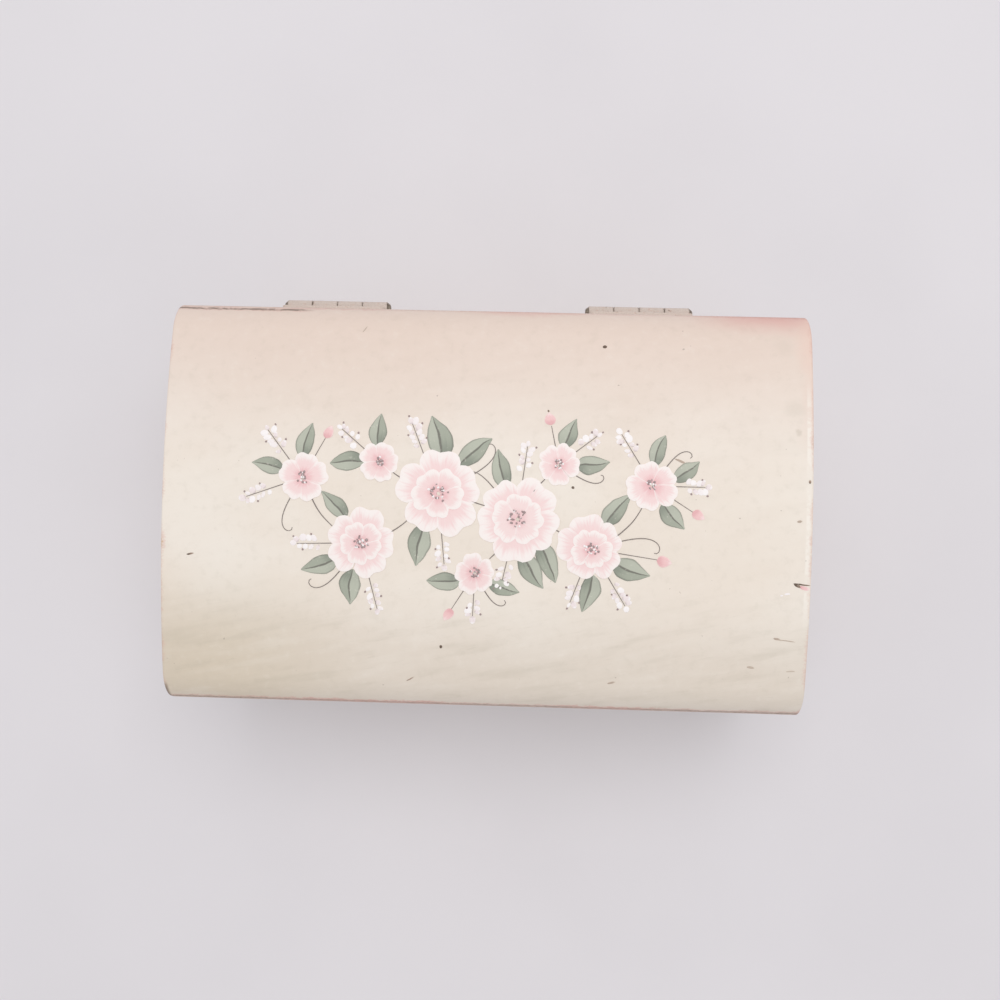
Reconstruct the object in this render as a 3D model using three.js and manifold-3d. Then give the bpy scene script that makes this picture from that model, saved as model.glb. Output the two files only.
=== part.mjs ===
// Painted wooden trinket box with a cushion-domed lid on two small butt hinges.
// Millimetres, +Z up, front of the box towards -Y, origin at the middle of the underside.
// The box is a glued-up case that was sawn open: the lid keeps the upper strip of every wall.

import * as THREE from 'three';
import { mergeVertices } from 'three/addons/utils/BufferGeometryUtils.js';
import Module from 'manifold-3d';

const wasm = await Module();
wasm.setup();

// Case
const boxWidth = 152.4;
const boxDepth = 96.6;
const baseHeight = 54.6;
const wallThickness = 6.4;
const bottomThickness = 3.2;
const bottomTongue = 2.2;
const rabbetDepth = 3.2;
const glueLine = 0.05;
const rimGap = 0.3;

// Lid
const lidRailHeight = 7.0;
const capEdgeHeight = 0.8;
const shoulderRadius = 9.5;
const crownRise = 4.0;
const smallestFillet = 1.0;

// Sanded corners and edges
const cornerRadius = 0.5;
const wornCornerRadius = 1.5;
const easedEdge = 0.4;

// Hinges
const hingePitch = 76.2;
const hingeShift = -1.4;
const leafLength = 25.4;
const leafReach = 7.5;
const leafThickness = 0.8;
const leafCornerRadius = 1.2;
const knucklesPerHinge = 4;
const knuckleGap = 0.2;
const barrelRadius = 1.65;
const barrelStandOff = 0.1;
const notchClearance = 0.25;
const pinRadius = 0.8;
const pinClearance = 0.08;
const pinHeadRadius = 1.45;
const pinHeadLength = 0.8;
const pinHeadTipShare = 0.62;

// Hinge screws
const screwPitch = 14.0;
const screwReach = 4.7;
const screwLength = 5.2;
const screwTipLength = 1.4;
const screwShankRadius = 0.9;
const screwHeadRadius = 1.7;
const screwHeadRim = 0.15;
const screwHeadLength = 0.8;
const screwSlotWidth = 0.5;
const screwSlotDepth = 0.3;
const screwClearance = 0.1;

// Making
const overrun = 3.0;
const archSegments = 8;
const cornerSegments = 3;
const easedSegments = 2;
const roundSides = 24;

// Sizes that follow
const halfWidth = boxWidth / 2;
const halfDepth = boxDepth / 2;
const lapLip = wallThickness - rabbetDepth;
const lidBottom = baseHeight + rimGap;
const capBottom = lidBottom + lidRailHeight;
const archSpring = capBottom + capEdgeHeight;
const domeRise = shoulderRadius + crownRise;
const boxHeight = archSpring + domeRise;
const innerFillet = Math.max(shoulderRadius - wallThickness, smallestFillet);
const leafSeat = glueLine;
const axisToWood = barrelRadius + barrelStandOff;
const axisY = halfDepth + axisToWood;
const axisZ = baseHeight + rimGap / 2;
const boreRadius = pinRadius + pinClearance;

// Finishes
const paintedWood = { color: 0xe6dccf, roughness: 0.62, metalness: 0 };
const bareWood = { color: 0xc9a983, roughness: 0.75, metalness: 0 };
const paintedLeaf = { color: 0xd8cabb, roughness: 0.55, metalness: 0.1 };
const wornMetal = { color: 0x7d6f5c, roughness: 0.45, metalness: 0.9 };

function toSolid(geometry) {
  const bare = geometry.clone();
  bare.deleteAttribute('normal');
  bare.deleteAttribute('uv');
  const merged = mergeVertices(bare);
  const vertProperties = new Float32Array(merged.attributes.position.array);
  const triVerts = new Uint32Array(merged.index.array);
  return new wasm.Manifold(new wasm.Mesh({ numProp: 3, vertProperties, triVerts }));
}

function toGeometry(solid) {
  const mesh = solid.getMesh();
  const geometry = new THREE.BufferGeometry();
  geometry.setAttribute('position', new THREE.BufferAttribute(new Float32Array(mesh.vertProperties), 3));
  geometry.setIndex(new THREE.BufferAttribute(new Uint32Array(mesh.triVerts), 1));
  geometry.computeVertexNormals();
  return geometry;
}

function block(low, high) {
  const size = high.map((value, i) => value - low[i]);
  const middle = high.map((value, i) => (value + low[i]) / 2);
  const geometry = new THREE.BoxGeometry(...size);
  geometry.translate(...middle);
  return toSolid(geometry);
}

// A section drawn in Y and Z, pushed along X and centred on the given place
function alongX(shape, length, middleX, eased = 0) {
  const geometry = new THREE.ExtrudeGeometry(shape, {
    depth: length - 2 * eased,
    curveSegments: archSegments,
    bevelEnabled: eased > 0,
    bevelThickness: eased,
    bevelSize: eased,
    bevelOffset: -eased,
    bevelSegments: easedSegments,
  });
  geometry.translate(0, 0, eased - length / 2);
  const turn = new THREE.Matrix4().makeBasis(
    new THREE.Vector3(0, 1, 0),
    new THREE.Vector3(0, 0, 1),
    new THREE.Vector3(1, 0, 0),
  );
  geometry.applyMatrix4(turn);
  geometry.translate(middleX, 0, 0);
  return toSolid(geometry);
}

// The rounded line over the top: front shoulder, shallow crown, back shoulder
function traceArch(shape, halfSpan, rise, shoulder) {
  const reach = halfSpan - shoulder;
  const crownRadius = (reach ** 2 + rise ** 2 - shoulder ** 2) / (2 * (rise - shoulder));
  const lean = Math.asin(reach / (crownRadius - shoulder));
  const upright = Math.PI / 2;
  shape.lineTo(-halfSpan, archSpring);
  shape.absarc(-reach, archSpring, shoulder, Math.PI, upright + lean, true);
  shape.absarc(0, archSpring + rise - crownRadius, crownRadius, upright + lean, upright - lean, true);
  shape.absarc(reach, archSpring, shoulder, upright - lean, 0, true);
}

function archSection(inset, bottom, shoulder) {
  const halfSpan = halfDepth - inset;
  const shape = new THREE.Shape();
  shape.moveTo(-halfSpan, bottom);
  traceArch(shape, halfSpan, domeRise - inset, shoulder);
  shape.lineTo(halfSpan, bottom);
  shape.closePath();
  return shape;
}

// The case seen from above, with its front left corner worn rounder than the rest
function planOutline() {
  const shape = new THREE.Shape();
  const quarter = Math.PI / 2;
  const right = halfWidth - cornerRadius;
  const back = halfDepth - cornerRadius;
  const wornX = wornCornerRadius - halfWidth;
  const wornY = wornCornerRadius - halfDepth;
  shape.moveTo(wornX, -halfDepth);
  shape.absarc(right, -back, cornerRadius, -quarter, 0, false);
  shape.absarc(right, back, cornerRadius, 0, quarter, false);
  shape.absarc(-right, back, cornerRadius, quarter, Math.PI, false);
  shape.absarc(wornX, wornY, wornCornerRadius, Math.PI, Math.PI + quarter, false);
  shape.closePath();
  return shape;
}

// Everything inside the outer faces of the base, with its bottom edge eased
function baseEnvelope() {
  const geometry = new THREE.ExtrudeGeometry(planOutline(), {
    depth: baseHeight + overrun,
    curveSegments: cornerSegments,
    bevelEnabled: true,
    bevelThickness: easedEdge,
    bevelSize: easedEdge,
    bevelOffset: -easedEdge,
    bevelSegments: easedSegments,
  });
  geometry.translate(0, 0, easedEdge);
  return toSolid(geometry);
}

// Everything inside the outer faces of the lid, with the ends of its arch eased
function lidEnvelope() {
  const geometry = new THREE.ExtrudeGeometry(planOutline(), {
    depth: boxHeight + overrun,
    curveSegments: cornerSegments,
    bevelEnabled: false,
  });
  const arch = alongX(archSection(0, baseHeight - overrun, shoulderRadius), boxWidth, 0, easedEdge);
  return toSolid(geometry).intersect(arch);
}

const baseForm = baseEnvelope();
const lidForm = lidEnvelope();

// A long board on the front (side -1) or the back (side 1), lapped over the ends of the end boards
function longBoard(side, bottom, top) {
  const inner = side * (halfDepth - wallThickness);
  const outer = side * (halfDepth + overrun);
  const lap = side * (halfDepth - lapLip);
  const innerFree = inner - side * overrun;
  const endLap = halfWidth - wallThickness - glueLine;
  const far = halfWidth + overrun;
  let solid = block(
    [-far, Math.min(inner, outer), bottom],
    [far, Math.max(inner, outer), top],
  );
  for (const end of [-1, 1]) {
    solid = solid.subtract(block(
      [Math.min(end * endLap, end * far), Math.min(innerFree, lap), bottom - overrun],
      [Math.max(end * endLap, end * far), Math.max(innerFree, lap), top + overrun],
    ));
  }
  return solid;
}

function baseLongWall(side) {
  return longBoard(side, 0, baseHeight).intersect(baseForm).subtract(bottomRabbet());
}

function lidLongRail(side) {
  return longBoard(side, lidBottom, capBottom - glueLine).intersect(lidForm);
}

function baseEndWall(side) {
  const inner = side * (halfWidth - wallThickness);
  const outer = side * (halfWidth + overrun);
  const reach = halfDepth - lapLip - glueLine;
  const board = block(
    [Math.min(inner, outer), -reach, 0],
    [Math.max(inner, outer), reach, baseHeight],
  );
  return board.intersect(baseForm).subtract(bottomRabbet());
}

// Room for the bottom panel, let into the lower inside edge of all four walls
function bottomRabbet() {
  const x = halfWidth - lapLip;
  const y = halfDepth - lapLip;
  return block([-x, -y, -overrun], [x, y, bottomTongue + glueLine]);
}

// The panel is rebated: its tongue fills the rabbet and its field stands up between the walls
function bottomPanel() {
  const tongueX = halfWidth - lapLip - glueLine;
  const tongueY = halfDepth - lapLip - glueLine;
  const fieldX = halfWidth - wallThickness - glueLine;
  const fieldY = halfDepth - wallThickness - glueLine;
  const tongue = block([-tongueX, -tongueY, 0], [tongueX, tongueY, bottomTongue]);
  const field = block([-fieldX, -fieldY, 0], [fieldX, fieldY, bottomThickness]);
  return tongue.add(field);
}

// The cap board: rounded over the outside and hollowed to the wall thickness inside
function lidCap() {
  const far = halfWidth + overrun;
  const deep = halfDepth + overrun;
  const above = block([-far, -deep, capBottom], [far, deep, boxHeight + overrun]);
  const hollow = alongX(archSection(wallThickness, baseHeight, innerFillet), 2 * far, 0);
  return above.intersect(lidForm).subtract(hollow);
}

// An arched end board: wide between the rails, then stepped in to fill the hollow of the cap
function lidEndBoard(side) {
  const railReach = halfDepth - lapLip - glueLine;
  const inset = wallThickness + glueLine;
  const step = capBottom - glueLine;
  const halfSpan = halfDepth - inset;
  const shape = new THREE.Shape();
  shape.moveTo(-railReach, lidBottom);
  shape.lineTo(-railReach, step);
  shape.lineTo(-halfSpan, step);
  traceArch(shape, halfSpan, domeRise - inset, innerFillet);
  shape.lineTo(halfSpan, step);
  shape.lineTo(railReach, step);
  shape.lineTo(railReach, lidBottom);
  shape.closePath();
  const board = alongX(shape, wallThickness, side * (halfWidth - wallThickness / 2));
  return board.intersect(lidForm);
}

function roundBar(radius, length, middleX) {
  const geometry = new THREE.CylinderGeometry(radius, radius, length, roundSides);
  geometry.rotateZ(Math.PI / 2);
  geometry.translate(middleX, 0, 0);
  return toSolid(geometry);
}

// One leaf about its own pin line: flat on the wood, with every other knuckle rolled round the pin
function hingeLeaf() {
  const slot = leafLength / knucklesPerHinge;
  const halfLeaf = leafLength / 2;
  const flatStart = barrelRadius + notchClearance;
  const sheet = new THREE.Shape();
  sheet.moveTo(-halfLeaf, flatStart);
  sheet.lineTo(halfLeaf, flatStart);
  sheet.lineTo(halfLeaf, leafReach - leafCornerRadius);
  sheet.absarc(halfLeaf - leafCornerRadius, leafReach - leafCornerRadius,
    leafCornerRadius, 0, Math.PI / 2, false);
  sheet.absarc(leafCornerRadius - halfLeaf, leafReach - leafCornerRadius,
    leafCornerRadius, Math.PI / 2, Math.PI, false);
  sheet.closePath();
  const geometry = new THREE.ExtrudeGeometry(sheet, {
    depth: leafThickness,
    curveSegments: cornerSegments,
    bevelEnabled: false,
  });
  geometry.rotateX(Math.PI / 2);
  const inner = leafSeat - axisToWood;
  const outer = inner + leafThickness;
  geometry.translate(0, outer, 0);
  let leaf = toSolid(geometry);
  for (let i = 0; i < knucklesPerHinge; i += 2) {
    const start = i * slot - halfLeaf + knuckleGap / 2;
    const end = (i + 1) * slot - halfLeaf - knuckleGap / 2;
    const tongue = block([start, inner, 0], [end, outer, flatStart + leafThickness]);
    leaf = leaf.add(tongue).add(roundBar(barrelRadius, end - start, (start + end) / 2));
  }
  leaf = leaf.subtract(roundBar(boreRadius, leafLength + overrun, 0));
  for (const side of [-1, 1]) {
    leaf = leaf.subtract(screwCutter(side * screwPitch / 2, outer, screwReach));
  }
  return leaf;
}

function pinProfile() {
  const shank = leafLength / 2;
  const tip = shank + pinHeadLength;
  const tipRadius = pinHeadRadius * pinHeadTipShare;
  const points = [[0, -tip], [tipRadius, -tip], [pinHeadRadius, -shank], [pinRadius, -shank]];
  const mirrored = points.map(([radius, along]) => [radius, -along]).reverse();
  return points.concat(mirrored).map(([radius, along]) => new THREE.Vector2(radius, along));
}

// A wire pin with both ends peened over into a low cone
function hingePin() {
  const geometry = new THREE.LatheGeometry(pinProfile(), roundSides);
  geometry.rotateZ(-Math.PI / 2);
  return toSolid(geometry);
}

// A countersunk screw pointing into the wood, with its head face at zero on +Y
function screwProfile(clearance, headTop) {
  const shank = screwShankRadius + clearance;
  const head = screwHeadRadius + clearance;
  const points = [
    [0, -screwLength - clearance],
    [shank, screwTipLength - screwLength],
    [shank, -screwHeadLength - clearance],
    [head, -screwHeadRim - clearance],
    [head, headTop],
    [0, headTop],
  ];
  return points.map(([radius, along]) => new THREE.Vector2(radius, along));
}

function screwSolid() {
  const body = toSolid(new THREE.LatheGeometry(screwProfile(0, 0), roundSides));
  const slot = block(
    [-screwHeadRadius - overrun, -screwSlotDepth, -screwSlotWidth / 2],
    [screwHeadRadius + overrun, overrun, screwSlotWidth / 2],
  );
  return body.subtract(slot);
}

function screwCutter(x, headFace, z) {
  const geometry = new THREE.LatheGeometry(screwProfile(screwClearance, overrun), roundSides);
  geometry.translate(x, headFace, z);
  return toSolid(geometry);
}

const hinges = [
  { name: 'left_hinge', x: hingeShift - hingePitch / 2 },
  { name: 'right_hinge', x: hingeShift + hingePitch / 2 },
];
const headFaceY = halfDepth + leafSeat + leafThickness;

// Screw holes in a back board, above (side 1) or below (side -1) the pin line
function withScrewHoles(board, side) {
  let drilled = board;
  for (const hinge of hinges) {
    for (const end of [-1, 1]) {
      const x = hinge.x + end * screwPitch / 2;
      drilled = drilled.subtract(screwCutter(x, headFaceY, axisZ + side * screwReach));
    }
  }
  return drilled;
}

function named(name, solid, finish) {
  const mesh = new THREE.Mesh(toGeometry(solid), new THREE.MeshStandardMaterial(finish));
  mesh.name = name;
  return mesh;
}

function buildBase() {
  const base = new THREE.Group();
  base.name = 'base';
  base.add(named('front_wall', baseLongWall(-1), paintedWood));
  base.add(named('back_wall', withScrewHoles(baseLongWall(1), -1), paintedWood));
  base.add(named('left_wall', baseEndWall(-1), paintedWood));
  base.add(named('right_wall', baseEndWall(1), paintedWood));
  base.add(named('bottom_panel', bottomPanel(), bareWood));
  return base;
}

function buildLid() {
  const lid = new THREE.Group();
  lid.name = 'lid';
  lid.add(named('lid_top', lidCap(), paintedWood));
  lid.add(named('lid_front_rail', lidLongRail(-1), paintedWood));
  lid.add(named('lid_back_rail', withScrewHoles(lidLongRail(1), 1), paintedWood));
  lid.add(named('lid_left_end', lidEndBoard(-1), paintedWood));
  lid.add(named('lid_right_end', lidEndBoard(1), paintedWood));
  return lid;
}

// The two leaves are alike: the one on the base is the one on the lid turned end for end
function buildHinge({ name, x }) {
  const hinge = new THREE.Group();
  hinge.name = name;
  hinge.position.set(x, axisY, axisZ);
  const leaf = hingeLeaf();
  const lidLeaf = named(`${name}_lid_leaf`, leaf, paintedLeaf);
  const baseLeaf = named(`${name}_base_leaf`, leaf, paintedLeaf);
  baseLeaf.rotation.y = Math.PI;
  hinge.add(lidLeaf, baseLeaf, named(`${name}_pin`, hingePin(), wornMetal));
  const screw = screwSolid();
  for (const [part, side] of [['lid', 1], ['base', -1]]) {
    for (const [place, end] of [['left', -1], ['right', 1]]) {
      const mesh = named(`${name}_${part}_screw_${place}`, screw, wornMetal);
      mesh.position.set(end * screwPitch / 2, headFaceY - axisY, side * screwReach);
      hinge.add(mesh);
    }
  }
  return hinge;
}

const group = new THREE.Group();
group.name = 'trinket_box';
group.add(buildBase(), buildLid());
for (const hinge of hinges) {
  group.add(buildHinge(hinge));
}

export default group;
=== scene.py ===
import math
import random
import bmesh
import bpy
from mathutils import Matrix, Vector


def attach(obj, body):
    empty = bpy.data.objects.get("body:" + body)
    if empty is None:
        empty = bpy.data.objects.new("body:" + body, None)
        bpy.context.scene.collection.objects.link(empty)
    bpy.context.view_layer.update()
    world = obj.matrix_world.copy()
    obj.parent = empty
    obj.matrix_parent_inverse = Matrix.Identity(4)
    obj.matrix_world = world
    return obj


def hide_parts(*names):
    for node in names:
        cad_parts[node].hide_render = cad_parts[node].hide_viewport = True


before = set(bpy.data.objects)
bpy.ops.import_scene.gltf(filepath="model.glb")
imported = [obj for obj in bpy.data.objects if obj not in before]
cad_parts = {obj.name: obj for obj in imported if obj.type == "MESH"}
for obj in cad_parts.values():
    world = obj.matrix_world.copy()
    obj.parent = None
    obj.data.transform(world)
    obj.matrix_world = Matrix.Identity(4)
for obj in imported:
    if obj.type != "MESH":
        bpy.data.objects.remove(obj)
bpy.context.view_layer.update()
mm = 0.001

# Sizes of the case and lid in millimetres, as in the CAD
boxShape = {
    "width": 152.4,
    "depth": 96.6,
    "baseTop": 54.6,
    "lidBottom": 54.9,
    "capBottom": 61.9,
    "spring": 62.7,
    "rise": 13.5,
    "shoulder": 9.5,
    "wall": 6.4,
    "corner": 0.5,
    "wornCorner": 1.5,
    "hingeY": 50.05,
    "hingeZ": 54.75,
    "hingeX": (-39.5, 36.7),
}
halfWidth = boxShape["width"] / 2
halfDepth = boxShape["depth"] / 2
reach = halfDepth - boxShape["shoulder"]
crownRadius = (reach ** 2 + boxShape["rise"] ** 2 - boxShape["shoulder"] ** 2)
crownRadius /= 2 * (boxShape["rise"] - boxShape["shoulder"])
lean = math.asin(reach / (crownRadius - boxShape["shoulder"]))
crownArc = crownRadius * lean
shoulderArc = boxShape["shoulder"] * (math.pi / 2 - lean)
edgeDrop = boxShape["spring"] - boxShape["capBottom"]
crownCentre = boxShape["spring"] + boxShape["rise"] - crownRadius


# An output of a node: plain arithmetic on it adds maths nodes
class Wire:
    def __init__(self, bench, socket):
        self.bench = bench
        self.socket = socket

    def calc(self, operation, *others):
        return self.bench.calc(operation, self, *others)

    def __add__(self, other):
        return self.calc("ADD", other)

    def __sub__(self, other):
        return self.calc("SUBTRACT", other)

    def __rsub__(self, other):
        return self.bench.calc("SUBTRACT", other, self)

    def __mul__(self, other):
        return self.calc("MULTIPLY", other)

    def __truediv__(self, other):
        return self.calc("DIVIDE", other)

    def __lt__(self, other):
        return self.calc("LESS_THAN", other)

    def __gt__(self, other):
        return self.calc("GREATER_THAN", other)

    def __abs__(self):
        return self.calc("ABSOLUTE")


# Short calls that add nodes and wire them up
class NodeBench:
    def __init__(self, tree):
        self.tree = tree

    def feed(self, socket, value):
        if isinstance(value, Wire):
            self.tree.links.new(value.socket, socket)
        elif value is not None:
            socket.default_value = value

    def add(self, kind, values=None, **settings):
        node = self.tree.nodes.new(kind)
        for key, value in settings.items():
            setattr(node, key, value)
        for key, value in (values or {}).items():
            self.feed(node.inputs[key], value)
        return node

    def wire(self, kind, values=None, output=0, **settings):
        return Wire(self, self.add(kind, values, **settings).outputs[output])

    def wires(self, sockets):
        return {socket.name: Wire(self, socket) for socket in sockets}

    def calc(self, operation, *values):
        return self.wire("ShaderNodeMath", dict(enumerate(values)), operation=operation)

    def group(self, tree, values):
        kind = tree.bl_idname.replace("Tree", "Group")
        return self.wires(self.add(kind, values, node_tree=tree).outputs)


def least(first, second):
    return first.calc("MINIMUM", second)


def most(first, second):
    return first.calc("MAXIMUM", second)


def sine(angle):
    return angle.calc("SINE")


def cosine(angle):
    return angle.calc("COSINE")


def lengthOf(first, second):
    return (first * first + second * second).calc("SQRT")


def parts(vector):
    node = vector.bench.add("ShaderNodeSeparateXYZ", {0: vector})
    return [Wire(vector.bench, socket) for socket in node.outputs]


def joined(bench, x, y=None, z=None):
    return bench.wire("ShaderNodeCombineXYZ", {0: x, 1: y, 2: z})


def scaled(vector, factors):
    return vector.bench.wire("ShaderNodeVectorMath", {0: vector, 1: factors}, operation="MULTIPLY")


def ramp(value, low, high, toLow=0.0, toHigh=1.0, style="SMOOTHSTEP"):
    values = {"Value": value, "From Min": low, "From Max": high, "To Min": toLow, "To Max": toHigh}
    return value.bench.wire("ShaderNodeMapRange", values, interpolation_type=style)


def noise(place, scale, detail=3.0, roughness=0.5):  # a scale for all three ways, or one for each
    if isinstance(scale, tuple):
        place, scale = scaled(place, scale), 1.0
    values = {"Vector": place, "Scale": scale, "Detail": detail, "Roughness": roughness}
    return place.bench.wire("ShaderNodeTexNoise", values)


def tint(red, green, blue):  # a screen colour, 0 to 255, as the linear values that nodes take
    return tuple(((c / 255 + 0.055) / 1.055) ** 2.4 for c in (red, green, blue)) + (1.0,)


def mix(factor, first, second):
    return factor.bench.wire("ShaderNodeMix", {0: factor, 6: first, 7: second}, 2, data_type="RGBA")


def overlay(color, layers):
    for factor, name in layers:
        color = mix(factor, color, tint(*paintLook[name]))
    return color


def newTree(name, kind, inputs, outputs):
    tree = bpy.data.node_groups.new(name, kind)
    for label, socket, default in inputs:
        item = tree.interface.new_socket(label, in_out="INPUT", socket_type="NodeSocket" + socket)
        if default is not None:
            item.default_value = default
    for label, socket in outputs:
        tree.interface.new_socket(label, in_out="OUTPUT", socket_type="NodeSocket" + socket)
    bench = NodeBench(tree)
    return tree, bench, bench.wires(bench.add("NodeGroupInput").outputs), bench.add("NodeGroupOutput").inputs


def newMaterial(name):
    material = bpy.data.materials.new(name)
    material.use_nodes = True
    bench = NodeBench(material.node_tree)
    place = scaled(bench.wire("ShaderNodeTexCoord", output="Object"), (1 / mm, 1 / mm, 1 / mm))
    return material, bench, place


# The surface: its bump is given as a height, with the bump's strength and its distance in millimetres
def finishMaterial(material, bench, color, roughness, bump, metallic=None):
    shader = material.node_tree.nodes["Principled BSDF"]
    bench.feed(shader.inputs["Base Color"], color)
    bench.feed(shader.inputs["Roughness"], roughness)
    bench.feed(shader.inputs["Metallic"], metallic)
    if bump:
        height, strength, distance = bump
        values = {"Height": height, "Strength": strength, "Distance": distance * mm}
        bench.feed(shader.inputs["Normal"], bench.wire("ShaderNodeBump", values))
    return material


# Distance to the nearest edge of the box's shell, and where its bare inside begins
def buildBoxEdges():
    tree, bench, given, result = newTree(
        "boxEdges", "ShaderNodeTree",
        [("Vector", "Vector", None), ("Low", "Float", 0.0), ("High", "Float", 1000.0)],
        [("Edge", "Float"), ("Inside", "Float")])
    x, y, z = parts(given["Vector"])
    sideX = halfWidth - abs(x)
    overY = most(abs(y) - reach, 0.0)
    overZ = most(z - boxShape["spring"], 0.0)
    sideShoulder = boxShape["shoulder"] - lengthOf(overY, overZ)
    rise = z - crownCentre
    sideCrown = crownRadius - lengthOf(y, rise)
    onCrown = abs(y) < rise * math.tan(lean)
    sideY = (sideCrown - sideShoulder) * onCrown + sideShoulder
    near = least(sideX, sideY)
    far = most(sideX, sideY)
    face = least(abs(near), abs(near - boxShape["wall"]))
    ends = least(z - given["Low"], given["High"] - z)
    edge = most(least(face, ends), least(most(face, ends), far))
    bench.feed(result["Edge"], edge)
    bench.feed(result["Inside"], ramp(near, boxShape["wall"] - 0.5, boxShape["wall"] - 0.15))
    return tree


woodLook = {
    "pale": (214, 184, 147),
    "dark": (190, 155, 117),
    "pore": (158, 122, 88),
    "rings": 90.0,
}


def buildWoodGrain():
    tree, bench, given, result = newTree(
        "woodGrain", "ShaderNodeTree", [("Vector", "Vector", None)],
        [("Color", "Color"), ("Height", "Float")])
    bend = noise(given["Vector"], (0.003, 0.045, 0.045), 1.0)
    lines = noise(given["Vector"], (0.012, 0.8, 0.8), 4.0, 0.55)
    pores = noise(given["Vector"], (0.2, 5.0, 5.0), 2.0)
    rings = sine(bend * woodLook["rings"]) * 0.12 + lines
    color = mix(ramp(rings, 0.25, 0.8), tint(*woodLook["pale"]), tint(*woodLook["dark"]))
    color = mix(ramp(pores, 0.56, 0.72, 0.0, 0.35), color, tint(*woodLook["pore"]))
    bench.feed(result["Color"], color)
    bench.feed(result["Height"], pores * -0.5 + lines)
    return tree


# What a user would change on the old paint: screen colours, and places in millimetres
paintLook = {
    "cream": (238, 230, 220),
    "shade": (234, 223, 211),
    "peach": (226, 206, 194),
    "beigeAndShade": (216, 205, 192),
    "smear": (176, 168, 150),
    "light": (245, 239, 231),
    "blush": (224, 176, 168),
    "endPink": (233, 203, 190),
    "undercoat": (212, 160, 150),
    "grime": (126, 112, 102),
    "dirtyWood": (152, 127, 106),
    "aged": (206, 191, 168),
    "smearTurn": 12.0,
    "frontRim": 67.0,
    "backRim": 66.4,
    "rimFoot": 65.2,
    "crackHeight": 67.6,
    "stains": [(71.8, 25.0, 2.4, 0.12), (72.7, 19.4, 1.0, 0.34), (69.5, 39.5, 2.6, 0.1)],
}
patchNoise = (0.42, 4.0, 0.6)
fineNoise = (2.6, 3.0, 0.6)
blotNoise = ((0.09, 0.13, 0.13), 4.0, 0.55)


# Where the lid's long edges are rubbed through: a ragged line, pink at its borders and dark inside,
# fainter at the back, with a thin crack above it at the back left
def buildRimWear():
    look = paintLook
    tree, bench, given, result = newTree(
        "rimWear", "ShaderNodeTree", [("Vector", "Vector", None)], [("Pink", "Float"), ("Dark", "Float")])
    place = given["Vector"]
    x, y, z = parts(place)
    patch, fine = noise(place, *patchNoise), noise(place, *fineNoise)
    ragged = (patch - 0.5) * 3.2 + (fine - 0.5) * 1.8
    onLongSide = abs(y) > reach + 2.0
    isFront = y < 0.0
    isBack = 1.0 - isFront
    upper = z + ragged - (isFront * (look["frontRim"] - look["backRim"]) + look["backRim"])
    lower = z - ragged - look["rimFoot"]
    border = ramp(upper, 0.9, 0.1) * ramp(lower, -0.9, -0.1)
    middle = ramp(upper, 0.2, -0.3) * ramp(lower, -0.2, 0.3)
    backLeft = ramp(x, -42.0, -48.0) * isBack
    fromCrack = abs(z - look["crackHeight"] + ragged * 0.6)
    pinkRun = most(ramp(x, -60.0, -38.0) * ramp(x, 2.0, -18.0), ramp(x, 12.0, 28.0) * ramp(x, 48.0, 32.0))
    backPink = most(ramp(x, 44.0, 58.0), ramp(noise(place, *blotNoise), 0.48, 0.6, 0.0, 0.7))
    pink = isFront * (pinkRun * 0.3 + 0.4) + isBack * (backPink * 0.3 + 0.12)
    crackPink = backLeft * ramp(fromCrack, 1.1, 0.4, 0.0, 0.4)
    bench.feed(result["Pink"], onLongSide * most(border * pink, crackPink))
    patchy = ramp((fine - 0.5) * 1.3 + patch, 0.4, 0.6)
    dark = middle * (isFront * (pinkRun * -0.15 + (patchy * 0.55 + 0.32)) + isBack * (patchy * 0.3))
    crack = backLeft * ramp(fromCrack, 0.65, 0.28) * ramp(patch, 0.38, 0.5, 0.3, 0.9)
    # the front left corner is rubbed dark too
    cornerRub = ramp(x, 1.1 - halfWidth, 0.4 - halfWidth) * ramp(y, -43.2, -45.0) * ramp(z, 64.0, 65.0)
    bench.feed(result["Dark"], most(onLongSide * most(dark, crack), cornerRub * 0.85))
    return tree


# What the paint's layers share: each point's place, and the noises
def paintFields(bench, place):
    x, y, z = parts(place)
    turn = {0: place, "Angle": math.radians(-paintLook["smearTurn"])}
    slanted = bench.wire("ShaderNodeVectorRotate", turn, rotation_type="Z_AXIS")
    return {
        "x": x,
        "y": y,
        "onTop": ramp(z, 58.0, 66.0),
        "cloud": noise(place, (0.018, 0.03, 0.03)),
        "blot": noise(place, *blotNoise),
        "patch": noise(place, *patchNoise),
        "smears": noise(slanted, (0.06, 0.34, 0.34), 4.0, 0.5),
        "hairs": noise(slanted, (0.16, 2.0, 2.0), 3.0, 0.6),
        "fine": noise(place, *fineNoise),
    }
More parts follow.
